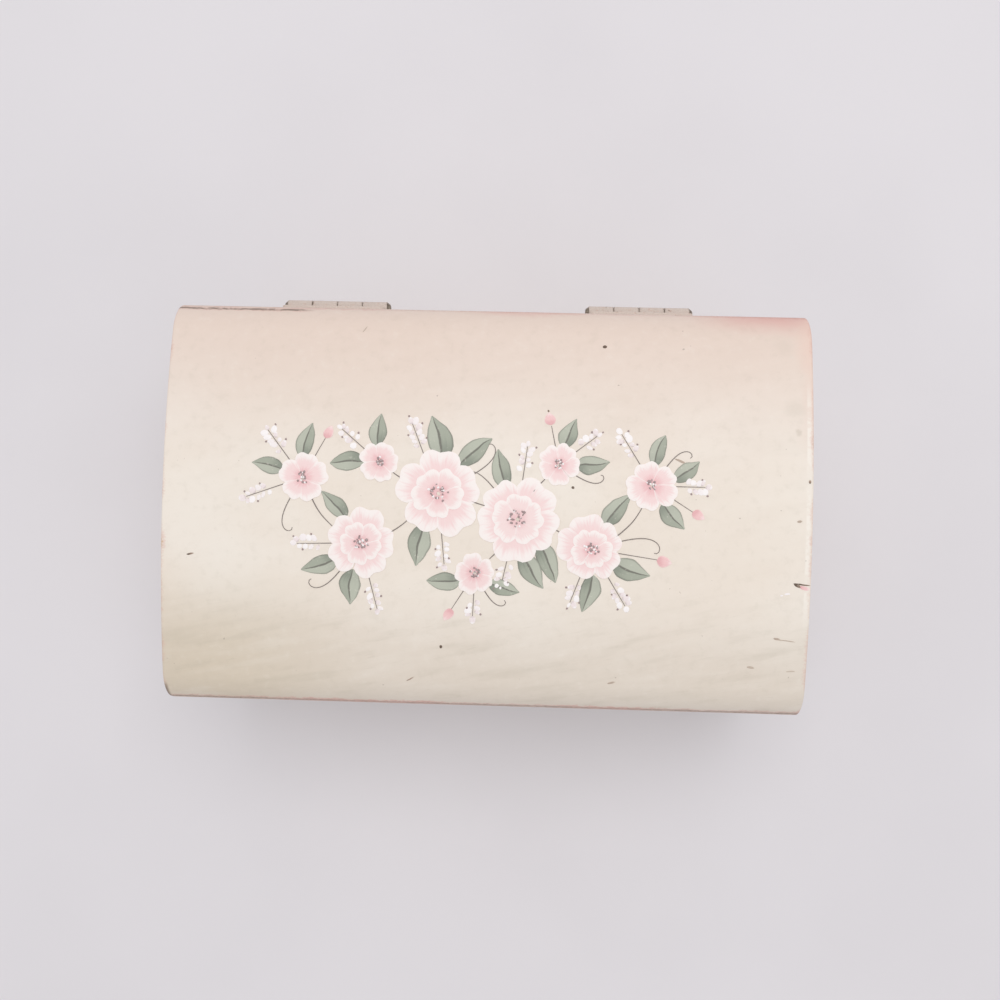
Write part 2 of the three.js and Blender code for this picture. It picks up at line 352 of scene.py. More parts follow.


# Cream, peach towards the back, beige towards the front and front left (partly yellowed paint, partly painted
# shade), with faint slanting smears and stains
def creamPaint(field):
    x, y, onTop, patch, smears = (field[key] for key in ("x", "y", "onTop", "patch", "smears"))
    front = ramp(y, -14.0, -34.0, 0.15, 1.0)
    layers = [
        (onTop * ramp(y, 2.0, 46.0, 0.0, 0.85), "peach"),
        # partly painted shade: the front turns beige and darker, as a shoulder curving away from the light
        # would
        (ramp(y, -16.0, -44.0, 0.0, 0.75), "beigeAndShade"),
        # partly painted shade: the front left is darker and yellower, partly an aged glaze and partly shade
        (onTop * (ramp(x, -20.0, -64.0, 0.0, 0.6) * ramp(y, -10.0, -38.0)), "aged"),
        (ramp(patch, 0.5, 0.75, 0.0, 0.1), "smear"),
        (ramp(patch, 0.46, 0.25, 0.0, 0.12), "light"),
        (front * ramp(smears, 0.5, 0.75, 0.0, 0.2), "smear"),
        (front * ramp(smears, 0.48, 0.28, 0.0, 0.12), "light"),
        (front * ramp(field["hairs"], 0.6, 0.8, 0.0, 0.18), "smear"),
    ]
    for stainX, stainY, radius, strength in paintLook["stains"]:
        apart = (patch - 0.5) * (radius * 2.5) + lengthOf(x - stainX, y - stainY)
        layers.append((onTop * ramp(apart, radius * 1.2, radius * 0.2, 0.0, strength), "smear"))
    cream = mix(ramp(field["cloud"], 0.35, 0.65), tint(*paintLook["cream"]), tint(*paintLook["shade"]))
    return overlay(cream, layers)


# Pink rubbed through near the back edge and the right end of the lid, whose edge has a pale line that is
# partly scuffed paint and partly a painted highlight
def blushLayers(field):
    x, y, onTop = (field[key] for key in ("x", "y", "onTop"))
    drift = (field["blot"] - 0.5) * 7.0
    backGap = halfDepth - y + drift * 0.6
    rightGap = halfWidth - x + drift
    corner = ramp(backGap, 6.4, 0.6, 0.0, 0.8) * ramp(x, 44.0, 66.0)
    middle = ramp(backGap, 2.6, 0.2, 0.0, 0.5) * (ramp(x, -8.0, 4.0) * ramp(x, 26.0, 14.0))
    endPink = ramp(rightGap, 4.5, 0.0, 0.0, 0.6) * ramp(y, 8.0, 40.0)
    # partly a painted highlight: a pale, broken line 1.1 mm in from the right edge, where the eased edge
    # catches the light
    scuffAndHighlight = ramp(abs(x - (halfWidth - 1.1)), 0.7, 0.2) * (ramp(y, 34.0, 22.0) * ramp(y, -30.0, -16.0))
    scuffAndHighlight = onTop * scuffAndHighlight * ramp(field["patch"], 0.4, 0.56, 0.15, 0.7)
    return [(onTop * most(corner, middle), "blush"), (onTop * endPink, "endPink"), (scuffAndHighlight, "light")]


# Old paint over a pink undercoat, thin along every edge, with a rubbed rim and a few specks of dirt
def buildBrushedPaint():
    tree, bench, given, result = newTree(
        "brushedPaint", "ShaderNodeTree",
        [("Vector", "Vector", None), ("Edge", "Float", 10.0), ("Wood", "Color", None),
         ("Inside", "Float", 0.0)],
        [("Color", "Color"), ("Roughness", "Float"), ("Height", "Float")])
    place = given["Vector"]
    field = paintFields(bench, place)
    fine, smears = field["fine"], field["smears"]
    edge = given["Edge"] + ((field["blot"] - 0.5) * 4.6 + (fine - 0.5) * 2.4)
    thin = (ramp(edge, 0.7, -0.5, 0.0, 0.36), "undercoat")
    bare = ramp(edge, -0.35, -1.0)
    rim = bench.group(rimWear, {"Vector": place})
    dirt = mix(ramp(fine, 0.42, 0.6, 0.0, 0.5), tint(*paintLook["grime"]), tint(*paintLook["dirtyWood"]))
    specks = ramp(noise(place, 0.6, 2.0, 0.7), 0.75, 0.775, 0.0, 0.4)
    color = overlay(creamPaint(field), blushLayers(field) + [thin])
    color = overlay(mix(bare, color, given["Wood"]), [(rim["Pink"], "undercoat")])
    color = overlay(mix(rim["Dark"], color, dirt), [(specks, "grime")])
    bench.feed(result["Color"], mix(given["Inside"], color, given["Wood"]))
    bench.feed(result["Roughness"], bare * 0.15 + ramp(smears, 0.3, 0.8, 0.52, 0.64))
    brushed = fine * 0.14 + (smears * 0.35 + field["hairs"] * 0.2)
    bench.feed(result["Height"], most(bare, rim["Dark"]) * -0.6 + brushed)
    return tree


boxEdges = buildBoxEdges()
woodGrain = buildWoodGrain()
rimWear = buildRimWear()
brushedPaint = buildBrushedPaint()


# Paint on a board between two heights, over wood whose grain runs along x or along y
def boardMaterial(name, low, high, grainY=False):
    material, bench, place = newMaterial(name)
    grain = place
    if grainY:
        x, y, z = parts(place)
        grain = joined(bench, y, x, z)
    wood = bench.group(woodGrain, {"Vector": grain})
    edges = bench.group(boxEdges, {"Vector": place, "Low": low, "High": high})
    paint = bench.group(brushedPaint, {"Vector": place, "Edge": edges["Edge"], "Wood": wood["Color"],
                                       "Inside": edges["Inside"]})
    return finishMaterial(material, bench, paint["Color"], paint["Roughness"], (paint["Height"], 0.35, 0.12))


def bareMaterial():
    material, bench, place = newMaterial("bareBoard")
    wood = bench.group(woodGrain, {"Vector": place})
    rough = ramp(wood["Height"], 0.0, 0.8, 0.66, 0.82)
    return finishMaterial(material, bench, wood["Color"], rough, (wood["Height"], 0.5, 0.12))


wellAbove = 1000.0
paints = {
    "lid": boardMaterial("creamLidPaint", boxShape["lidBottom"], wellAbove),
    "lidEnd": boardMaterial("creamLidEndPaint", boxShape["lidBottom"], wellAbove, grainY=True),
    "case": boardMaterial("creamCasePaint", 0.0, boxShape["baseTop"]),
    "caseEnd": boardMaterial("creamCaseEndPaint", 0.0, boxShape["baseTop"], grainY=True),
    "bare": bareMaterial(),
}
print("materials ready")


def linked(name, data):
    obj = bpy.data.objects.new(name, data)
    bpy.context.scene.collection.objects.link(obj)
    return obj


def smoothMesh(mesh, degrees=35):
    for polygon in mesh.polygons:
        polygon.use_smooth = True
    mesh.set_sharp_from_angle(angle=math.radians(degrees))
    return mesh


def fromBmesh(name, bm, degrees=35):
    mesh = bpy.data.meshes.new(name)
    bm.to_mesh(mesh)
    bm.free()
    return smoothMesh(mesh, degrees)


def plainMesh(obj):
    graph = bpy.context.evaluated_depsgraph_get()
    return bpy.data.meshes.new_from_object(obj.evaluated_get(graph))


# A plain mesh grown by a tree of nodes from a seed, with the tree's inputs set by name
def growMesh(name, tree, sizes, seed=None, degrees=35):
    source = linked(name, seed or bpy.data.meshes.new(name + "Seed"))
    modifier = source.modifiers.new("grow", "NODES")
    modifier.node_group = tree
    for item in tree.interface.items_tree:
        if item.item_type == "SOCKET" and item.in_out == "INPUT" and item.name in sizes:
            modifier[item.identifier] = sizes[item.name]
    mesh = plainMesh(source)
    bpy.data.objects.remove(source)
    mesh.name = name
    return linked(name, smoothMesh(mesh, degrees))


def wearMaterial(obj, material):
    obj.data.materials.clear()
    obj.data.materials.append(material)


def seat(obj, body, slotName, *nodes):
    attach(obj, body)
    if nodes:
        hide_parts(*nodes)


# The end of every tree that grows a piece: real geometry that wears the given material
def endTree(bench, geometry, given, result):
    real = bench.wire("GeometryNodeRealizeInstances", {"Geometry": geometry})
    done = bench.wire("GeometryNodeSetMaterial", {"Geometry": real, "Material": given["Material"]})
    bench.feed(result["Geometry"], done)


# Places a point given by its way across, along and below the rounded top
def buildArchBend():
    tree, bench, given, result = newTree(
        "archBend", "GeometryNodeTree",
        [("Across", "Float", 0.0), ("Along", "Float", 0.0), ("Below", "Float", 0.0),
         ("Half Depth", "Float", halfDepth * mm), ("Spring", "Float", boxShape["spring"] * mm),
         ("Rise", "Float", boxShape["rise"] * mm), ("Shoulder", "Float", boxShape["shoulder"] * mm)],
        [("Position", "Vector")])
    shoulder, rise, along, below = (given[key] for key in ("Shoulder", "Rise", "Along", "Below"))
    reachIn = given["Half Depth"] - shoulder
    radius = (reachIn * reachIn + rise * rise - shoulder * shoulder) / ((rise - shoulder) * 2.0)
    tilt = (reachIn / (radius - shoulder)).calc("ARCSINE")
    crown = radius * tilt
    quarter = shoulder * (math.pi / 2 - tilt)
    first = least(abs(along), crown) / radius
    past = abs(along) - crown
    turned = least(most(past, 0.0), quarter) / shoulder
    second = tilt + turned
    angle = first + turned
    out = radius * sine(first) + shoulder * (sine(second) - sine(tilt))
    y = along.calc("SIGN") * (out - below * sine(angle))
    sink = radius * (1.0 - cosine(first))
    curl = shoulder * (cosine(tilt) - cosine(second))
    z = given["Spring"] + rise - (sink + curl + most(past - quarter, 0.0)) - below * cosine(angle)
    bench.feed(result["Position"], joined(bench, given["Across"], y, z))
    return tree


archBend = buildArchBend()

# What a user would change on the lid's top board, in millimetres
lidTopShape = {
    "endRound": 0.4,
    "edgeZone": 3.2,
    "wave": 0.07,
    "columns": 121,
    "rows": 201,
}


# A plan or section corner rounded: both coordinates, as far as they pass the radius, are drawn in
def drawIn(first, second, firstLimit, secondLimit, radius):
    overFirst = most(first - (firstLimit - radius), 0.0)
    overSecond = most(second - (secondLimit - radius), 0.0)
    lost = 1.0 - least(radius / most(lengthOf(overFirst, overSecond), 1e-7), 1.0)
    return first - overFirst * lost, second - overSecond * lost


# Spends four fifths of a share on the first stretch, and the rest on the second
def twoStretches(share, first, second):
    return ramp(share, 0.0, 0.8, 0.0, first, "LINEAR") + ramp(share, 0.8, 1.0, 0.0, second, "LINEAR")


# A board with rounded ends, laid over the arch, with its plan corners drawn in
def buildArchedBoard():
    tree, bench, given, result = newTree(
        "archedBoard", "GeometryNodeTree",
        [("Half Width", "Float", 0.0), ("Half Depth", "Float", 0.0), ("Half Length", "Float", 0.0),
         ("Wall", "Float", 0.0), ("End Round", "Float", 0.0), ("Edge Zone", "Float", 0.0),
         ("Corner", "Float", 0.0), ("Worn Corner", "Float", 0.0), ("Wave", "Float", 0.0),
         ("Columns", "Int", 11), ("Rows", "Int", 11), ("Material", "Material", None)],
        [("Geometry", "Geometry")])
    halfAcross, wall, endRound = given["Half Width"], given["Wall"], given["End Round"]
    zone = given["Edge Zone"]
    block =bench.wire("GeometryNodeMeshCube", {"Size": (2.0, 2.0, 1.0), "Vertices X": given["Columns"],
                                                "Vertices Y": given["Rows"], "Vertices Z": 6})
    x, y, z = parts(bench.wire("GeometryNodeInputPosition"))
    across = twoStretches(abs(x), halfAcross - zone, zone)
    deep = 0.5 - z
    below = twoStretches(deep, endRound, wall - endRound)
    across, height = drawIn(across, wall - below, halfAcross, wall, endRound)
    across = across * x.calc("SIGN")
    along = y * given["Half Length"]
    # the ripple dies out towards the glued lower edges
    ripple = noise(joined(bench, across, along), (18.0, 55.0, 1.0)) * ramp(abs(y), 0.97, 0.85)
    below = wall - height + ripple * given["Wave"] * (1.0 - deep)
    bend = bench.group(archBend, {"Across": across, "Along": along, "Below": below})
    px, py, pz = parts(bend["Position"])
    frontLeft = (px < 0.0) * (py < 0.0)
    radius = (given["Worn Corner"] - given["Corner"]) * frontLeft + given["Corner"]
    planX, planY = drawIn(abs(px), abs(py), halfAcross, given["Half Depth"], radius)
    place = joined(bench, planX * px.calc("SIGN"), planY * py.calc("SIGN"), pz)
    moved = bench.wire("GeometryNodeSetPosition", {"Geometry": block, "Position": place})
    endTree(bench, moved, given, result)
    return tree


def makeLidTop():
    sizes = {
        "Half Width": halfWidth * mm,
        "Half Depth": halfDepth * mm,
        "Half Length": (crownArc + shoulderArc + edgeDrop) * mm,
        "Wall": boxShape["wall"] * mm,
        "End Round": lidTopShape["endRound"] * mm,
        "Edge Zone": lidTopShape["edgeZone"] * mm,
        "Corner": boxShape["corner"] * mm,
        "Worn Corner": boxShape["wornCorner"] * mm,
        "Wave": lidTopShape["wave"] * mm,
        "Columns": lidTopShape["columns"],
        "Rows": lidTopShape["rows"],
        "Material": paints["lid"],
    }
    seat(growMesh("lidTop", buildArchedBoard(), sizes), "lid", "painted_wood", "lid_top")


makeLidTop()
print("lid top made")

# What a user would change on the other boards: millimetres, degrees, and each board's body and paint
boardShape = {
    "weld": 0.002,
    "softEdge": 0.4,
    "steps": 3,
    "sharpFrom": 40,
    "shadeFrom": 38,
}
boardLooks = {
    "front_wall": ("base", "case"),
    "back_wall": ("base", "case"),
    "left_wall": ("base", "caseEnd"),
    "right_wall": ("base", "caseEnd"),
    "bottom_panel": ("base", "bare"),
    "lid_front_rail": ("lid", "lid"),
    "lid_back_rail": ("lid", "lid"),
    "lid_left_end": ("lid", "lidEnd"),
    "lid_right_end": ("lid", "lidEnd"),
}


# A board with the frame's shape, merged and with its sharp edges sanded round
def makeBoard(node, body, look):
    shape = boardShape
    bm = bmesh.new()
    bm.from_mesh(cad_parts[node].data)
    bmesh.ops.remove_doubles(bm, verts=bm.verts, dist=shape["weld"] * mm)
    bmesh.ops.dissolve_limit(bm, angle_limit=0.01, verts=bm.verts, edges=bm.edges)
    sharpAngle = math.radians(shape["sharpFrom"])
    sharp = [e for e in bm.edges if len(e.link_faces) == 2 and e.calc_face_angle() > sharpAngle]
    bmesh.ops.bevel(bm, geom=sharp, offset=shape["softEdge"] * mm, segments=shape["steps"],
                    profile=0.5, affect="EDGES", clamp_overlap=True)
    bmesh.ops.triangulate(bm, faces=[f for f in bm.faces if len(f.verts) > 4])
    name = "".join(w.capitalize() if i else w for i, w in enumerate(node.split("_")))
    board = linked(name, fromBmesh(name, bm, shape["shadeFrom"]))
    wearMaterial(board, paints[look])
    seat(board, body, "bare_wood" if look == "bare" else "painted_wood", node)


for node, (body, look) in boardLooks.items():
    makeBoard(node, body, look)
print("boards made")

# What a user would change on the hinges: millimetres, degrees and screen colours
hingeShape = {
    "length": 25.4,
    "reach": 7.5,
    "thickness": 0.8,
    "corner": 1.2,
    "count": 4,
    "gap": 0.1,
    "barrel": 1.65,
    "bore": 0.88,
    "notch": 1.9,
    "seat": -1.70,
    "curl": 318,
    "curlSteps": 30,
    "softEdge": 0.14,
    "pin": 0.8,
    "pinHead": 1.45,
    "pinHeadLength": 0.8,
    "screwPitch": 14.0,
    "screwReach": 4.7,
    "sinkRadius": 1.82,
    "slot": (4.4, 0.6, 0.5),
    "paint": (213, 199, 190),
    "paintShade": (198, 183, 173),
    "paintPink": (203, 172, 158),
    "chip": (156, 141, 129),
    "steel": (172, 161, 148),
    "steelStain": (126, 114, 102),
}
knuckleLength = hingeShape["length"] / hingeShape["count"]


# Cream paint on the hinges, dark where the knuckles rub on each other
def hingeMaterial():
    size = hingeShape
    material, bench, place = newMaterial("chippedHingePaint")
    x, y, z = parts(place)
    spots = noise(place, 0.9, 4.0, 0.6)
    fine = noise(place, 4.0, 3.0, 0.6)
    slot = (x - boxShape["hingeX"][0]) / knuckleLength
    joint = abs(slot - slot.calc("ROUND")) * knuckleLength + (fine - 0.5) * 0.7
    radius = lengthOf(y - boxShape["hingeY"], z - boxShape["hingeZ"])
    rubbed = ramp(joint, 0.42, 0.12) * ramp(radius, 2.1, 1.75) * ramp(spots, 0.4, 0.6, 0.25, 0.8)
    chips = most(ramp(spots, 0.66, 0.7), rubbed)
    color = mix(ramp(fine, 0.35, 0.7), tint(*size["paint"]), tint(*size["paintShade"]))
    color = mix(ramp(spots, 0.57, 0.66, 0.0, 0.6), color, tint(*size["paintPink"]))
    color = mix(chips, color, tint(*size["chip"]))
    rough = ramp(fine, 0.3, 0.7, 0.42, 0.6)
    return finishMaterial(material, bench, color, rough, (chips * -0.8 + fine, 0.5, 0.08), chips * 0.4)


def metalMaterial():
    material, bench, place = newMaterial("tarnishedSteel")
    stain = noise(place, 1.1, 4.0, 0.6)
    fine = noise(place, 5.0, 3.0, 0.6)
    color = mix(ramp(stain, 0.35, 0.65), tint(*hingeShape["steel"]), tint(*hingeShape["steelStain"]))
    rough = ramp(fine, 0.3, 0.7, 0.34, 0.58)
    return finishMaterial(material, bench, color, rough, (fine, 0.4, 0.05), ramp(stain, 0.3, 0.7, 0.95, 0.7))


# Section of a leaf's rolled end: pairs of points outside and inside, from the plate round the pin
def knuckleOutline():
    size = hingeShape
    steps = size["curlSteps"]
    turns = [math.radians(180 + size["curl"] * i / steps) for i in range(steps + 1)]
    lines = []
    for face, radius in ((size["seat"], size["barrel"]), (size["seat"] + size["thickness"], size["bore"])):
        line = [(face, size["notch"] + size["thickness"]), (face, size["notch"] * 0.5)]
        lines.append(line + [(radius * math.cos(turn), radius * math.sin(turn)) for turn in turns])
    return list(zip(*lines))


# Sheet rolled round the pin: the section pushed along the hinge line, with soft ends
def knuckleMesh():
    half = (knuckleLength - hingeShape["gap"]) / 2
    soft = hingeShape["softEdge"]
    bm = bmesh.new()
    rings = []
    for x, inset in ((-half, soft), (-half + soft * 0.3, soft * 0.3), (-half + soft, 0),
                     (half - soft, 0), (half - soft * 0.3, soft * 0.3), (half, soft)):
        ring = []
        for (oy, oz), (iy, iz) in knuckleOutline():
            share = inset / math.hypot(oy - iy, oz - iz)
            outside = (x * mm, (oy + (iy - oy) * share) * mm, (oz + (iz - oz) * share) * mm)
            inside = (x * mm, (iy + (oy - iy) * share) * mm, (iz + (oz - iz) * share) * mm)
            ring.append((bm.verts.new(outside), bm.verts.new(inside)))
        rings.append(ring)
    last = len(rings[0]) - 1
    for a, b in zip(rings, rings[1:]):
        for i in range(last):
            bm.faces.new((a[i][0], a[i + 1][0], b[i + 1][0], b[i][0]))
            bm.faces.new((a[i][1], b[i][1], b[i + 1][1], a[i + 1][1]))
        bm.faces.new((a[0][0], b[0][0], b[0][1], a[0][1]))
        bm.faces.new((a[last][0], a[last][1], b[last][1], b[last][0]))
    for ring in (rings[0], rings[-1]):
        for i in range(last):
            bm.faces.new((ring[i][0], ring[i][1], ring[i + 1][1], ring[i + 1][0]))
    bmesh.ops.recalc_face_normals(bm, faces=bm.faces)
    return fromBmesh("knuckle", bm)


# A profile of radii and heights, turned round the y axis
def latheMesh(name, points, steps=40):
    bm = bmesh.new()
    rings = []
    for radius, along in points:
        if radius < 1e-6:
            rings.append([bm.verts.new((0, along * mm, 0))])
            continue
        ring = []
        for i in range(steps):
            turn = 2 * math.pi * i / steps
            place = (radius * mm * math.cos(turn), along * mm, radius * mm * math.sin(turn))
            ring.append(bm.verts.new(place))
        rings.append(ring)
    for a, b in zip(rings, rings[1:]):
        for i in range(steps):
            j = (i + 1) % steps
            corners = [a[i % len(a)], a[j % len(a)], b[j % len(b)], b[i % len(b)]]
            unique = list(dict.fromkeys(corners))
            if len(unique) > 2:
                bm.faces.new(unique)
    bmesh.ops.recalc_face_normals(bm, faces=bm.faces)
    return fromBmesh(name, bm)


def cutWith(obj, mesh):
    cutter = linked("cutter", mesh)
    cut = obj.modifiers.new("cut", "BOOLEAN")
    cut.object = cutter
    cut.solver = "EXACT"
    plain = plainMesh(obj)
    obj.modifiers.remove(cut)
    obj.data = plain
    bpy.data.objects.remove(cutter)


# Flat plate with rounded corners and two countersunk holes
def makePlate():
    size = hingeShape
    half, top, corner = size["length"] / 2, size["reach"], size["corner"]
    outline = [(-half, size["notch"]), (half, size["notch"])]
    for centreX, start in ((half - corner, 0), (corner - half, 90)):
        for degrees in range(start, start + 91, 15):
            turn = math.radians(degrees)
            outline.append((centreX + corner * math.cos(turn), top - corner + corner * math.sin(turn)))
    bm = bmesh.new()
    face = bm.faces.new([bm.verts.new((x * mm, size["seat"] * mm, z * mm)) for x, z in outline])
    pushed = bmesh.ops.extrude_face_region(bm, geom=[face])
    moved = [v for v in pushed["geom"] if isinstance(v, bmesh.types.BMVert)]
    bmesh.ops.translate(bm, verts=moved, vec=(0, size["thickness"] * mm, 0))
    bmesh.ops.recalc_face_normals(bm, faces=bm.faces)
    edges = [e for e in bm.edges if e.calc_face_angle(0) > math.radians(40)]
    bmesh.ops.bevel(bm, geom=edges, offset=size["softEdge"] * mm, segments=2, profile=0.5, affect="EDGES")
    plate = linked("plate", fromBmesh("plate", bm))
    front, sink = size["seat"] + size["thickness"], size["sinkRadius"]
    for side in (-1, 1):
        profile = [(0, front - 2), (1.0, front - 2), (1.0, front - 0.8), (sink, front - 0.1),
                   (sink, front + 1), (0, front + 1)]
        mesh = latheMesh("sink", profile, 32)
        mesh.transform(Matrix.Translation((side * size["screwPitch"] / 2 * mm, 0, size["screwReach"] * mm)))
        cutWith(plate, mesh)
    smoothMesh(plate.data, 30)
    return plate


def makeScrewMaster():
    profile = [(0, -5.2), (0.35, -5.0), (0.9, -3.8), (0.9, -0.8), (1.62, -0.12), (1.68, -0.04), (1.6, 0.0),
               (0, 0.02)]
    screw = linked("screw", latheMesh("screw", profile, 36))
    bm = bmesh.new()
    bmesh.ops.create_cube(bm, size=1)
    bmesh.ops.scale(bm, vec=[side * mm for side in hingeShape["slot"]], verts=bm.verts)
    cutWith(screw, fromBmesh("slotCutter", bm))
    smoothMesh(screw.data, 30)
    return screw


# Copies of a master on points, with the node's other inputs by name
def copiesOn(bench, points, master, **inputs):
    shape = bench.wire("GeometryNodeObjectInfo", {"Object": master}, "Geometry")
    return bench.wire("GeometryNodeInstanceOnPoints", {"Points": points, "Instance": shape, **inputs})


def namedVector(bench, name):
    return bench.wire("GeometryNodeInputNamedAttribute", {"Name": name}, data_type="FLOAT_VECTOR")


def namedTurn(bench):
    return bench.wire("FunctionNodeEulerToRotation", {0: namedVector(bench, "turn")})


# Plate and a row of knuckles, at every other place along the pin
def buildLeafTree():
    tree, bench, given, result = newTree(
        "hingeLeaf", "GeometryNodeTree",
        [("Plate", "Object", None), ("Knuckle", "Object", None), ("Count", "Int", 2),
         ("Start", "Float", 0.0), ("Pitch", "Float", 0.0), ("Material", "Material", None)],
        [("Geometry", "Geometry")])
    line = {
        "Count": given["Count"],
        "Start Location": joined(bench, given["Start"]),
        "Offset": joined(bench, given["Pitch"]),
    }
    row = bench.wire("GeometryNodeMeshLine", line)
    both = bench.add("GeometryNodeJoinGeometry")
    bench.feed(both.inputs[0], copiesOn(bench, row, given["Knuckle"]))
    bench.feed(both.inputs[0], bench.wire("GeometryNodeObjectInfo", {"Object": given["Plate"]}, "Geometry"))
    endTree(bench, Wire(bench, both.outputs[0]), given, result)
    return tree


# Copies a master at each given point, turned by the point's own values
def buildCopyTree():
    tree, bench, given, result = newTree(
        "placedCopies", "GeometryNodeTree",
        [("Geometry", "Geometry", None), ("Master", "Object", None), ("Material", "Material", None)],
        [("Geometry", "Geometry")])
    copies = copiesOn(bench, given["Geometry"], given["Master"], Rotation=namedTurn(bench))
    endTree(bench, copies, given, result)
    return tree


def pointMesh(name, places, attributes):
    mesh = bpy.data.meshes.new(name)
    mesh.from_pydata(places, [], [])
    for key, values in attributes.items():
        kind = "FLOAT" if isinstance(values[0], float) else "FLOAT_VECTOR"
        layer = mesh.attributes.new(key, kind, "POINT")
        for item, value in zip(layer.data, values):
            if kind == "FLOAT":
                item.value = value
            else:
                item.vector = value
    return mesh


def makeLeaves(side, place, plate, knuckle, leafTree, paint):
    start = -hingeShape["length"] / 2 + knuckleLength / 2
    sizes = {"Plate": plate, "Knuckle": knuckle, "Count": 2, "Start": start * mm,
             "Pitch": 2 * knuckleLength * mm, "Material": paint}
    for body in ("lid", "base"):
        leaf = growMesh(f"{side}Hinge{body.capitalize()}Leaf", leafTree, sizes)
        if body == "base":
            leaf.data.transform(Matrix.Rotation(math.pi, 4, "Y"))
        leaf.data.transform(place)
        seat(leaf, body, "painted_hinge", f"{side}_hinge_{body}_leaf")


def makePin(side, place, steel):
    head = hingeShape["length"] / 2
    tip = head + hingeShape["pinHeadLength"]
    points = [(0, -tip), (0.6, -tip + 0.02), (0.98, -tip + 0.14), (1.36, -head - 0.18),
              (hingeShape["pinHead"], -head - 0.06), (1.38, -head), (hingeShape["pin"], -head)]
    points += [(radius, -along) for radius, along in reversed(points)]
    mesh = latheMesh(f"{side}HingePin", points)
    mesh.transform(place @ Matrix.Rotation(-math.pi / 2, 4, "Z"))
    pin = linked(f"{side}HingePin", mesh)
    wearMaterial(pin, steel)
    seat(pin, "base", "worn_metal", f"{side}_hinge_pin")


def makeHinges(steel):
    leafTree = buildLeafTree()
    paint = hingeMaterial()
    plate = makePlate()
    knuckle = linked("knuckle", knuckleMesh())
    for side, centreX in zip(("left", "right"), boxShape["hingeX"]):
        place = Matrix.Translation(Vector((centreX, boxShape["hingeY"], boxShape["hingeZ"])) * mm)
        makeLeaves(side, place, plate, knuckle, leafTree, paint)
        makePin(side, place, steel)
    bpy.data.objects.remove(plate)
    bpy.data.objects.remove(knuckle)


def makeScrews(steel):
    copyTree = buildCopyTree()
    screw = makeScrewMaster()
    random.seed(11)
    headFace = halfDepth + 0.05 + hingeShape["thickness"]
    for body, side in (("lid", 1), ("base", -1)):
        places, turns, nodes = [], [], []
        for hinge, centreX in zip(("left", "right"), boxShape["hingeX"]):
            for end, word in ((-1, "left"), (1, "right")):
                x = centreX + end * hingeShape["screwPitch"] / 2
                z = boxShape["hingeZ"] + side * hingeShape["screwReach"]
                places.append(Vector((x, headFace, z)) * mm)
                turns.append((0.0, random.uniform(0.0, math.pi), 0.0))
                nodes.append(f"{hinge}_hinge_{body}_screw_{word}")
        seed = pointMesh("screwPlaces", places, {"turn": turns})
        screws = growMesh(f"{body}HingeScrews", copyTree, {"Master": screw, "Material": steel}, seed, 30)
        seat(screws, body, "worn_metal", *nodes)
    bpy.data.objects.remove(screw)


hingeSteel = metalMaterial()
makeHinges(hingeSteel)
makeScrews(hingeSteel)
print("hinges made")

# What a user would change on the painted garland: millimetres, and degrees from the right
garland = {
    "seed": 7,
    "relief": 0.12,
    "drift": 1.3,
    "blossoms": [  # across, along, radius, turn, tone, directions of its leaves
        (-11.0, 3.0, 10.5, 20, 0.45, (85, 55, 250)),
        (7.5, -2.5, 10.0, 50, 0.6, (108, 280, 312)),
        (-29.0, -9.0, 8.5, 5, 0.55, (255, 215, 122)),
        (25.0, -9.0, 8.0, 30, 0.4, (275, 330, 62)),
        (-43.0, 6.0, 6.0, 12, 0.7, (160, 95)),
        (39.0, 6.0, 6.2, 40, 0.6, (20, 88, 300)),
        (-2.0, -15.5, 5.0, 25, 0.7, (205, 330)),
        (17.0, 10.5, 5.2, 60, 0.75, (72, 0)),
        (-25.0, 10.0, 4.8, 0, 0.65, (100, 180)),
    ],
    "stems": [  # points of each line, across and along
        [(-43, 6), (-38, -3), (-29, -9), (-20, -5), (-11, 3), (-2, 1), (7, -2), (17, -5), (25, -9), (34, -3),
         (39, 6)],
        [(7, -2), (4, -9), (-2, -15)],
        [(7, -2), (12, 5), (17, 10)],
        [(-11, 3), (-19, 6), (-25, 10)],
    ],
    "twigs": [  # blossom, direction, length, dabs
        (4, 200, 9, 10), (4, 128, 9, 10), (2, 285, 9, 10), (2, 182, 8, 9), (0, 112, 9, 11), (0, 276, 8, 9),
        (1, 83, 9, 10), (1, 258, 8, 9), (3, 302, 9, 10), (3, 250, 7, 8), (5, 0, 7, 9), (5, 122, 9, 10),
        (7, 38, 7, 8), (6, 268, 6, 7), (8, 140, 8, 9),
    ],
    "tendrils": [  # blossom, direction, length, curl
        (4, 240, 12, 1), (2, 235, 13, -1), (1, 128, 12, 1), (3, 16, 14, -1), (7, 328, 10, 1), (6, 300, 9, 1),
        (5, 56, 10, -1), (0, 30, 13, 1),
    ],
    "buds": [  # blossom, direction, stem, length
        (5, 328, 6, 3.4), (6, 238, 6, 3.2), (7, 102, 5, 3.4), (4, 62, 6, 3.2), (3, 352, 9, 3.6),
    ],
}
# The paint of the strokes at the foot, in the middle and at the rim, then its glow and its vein
strokeColors = {
    "petals": ("petalPaint", (236, 190, 192), (243, 216, 215), (247, 239, 236)),
    "leaves": ("leafPaint", (138, 144, 131), (165, 170, 155), (196, 199, 184), 0.5, (106, 104, 96)),
    "dots": ("dotPaint", (158, 138, 138), (236, 222, 222), (250, 246, 246), 2.0),
    "buds": ("budPaint", (228, 176, 178), (240, 198, 198), (245, 222, 220)),
    "stems": ("stemPaint", (132, 122, 118), (150, 140, 134), (160, 152, 144)),
    "marks": ("darkMark", (98, 80, 66), (166, 142, 126), (208, 195, 180), 2.0),
}


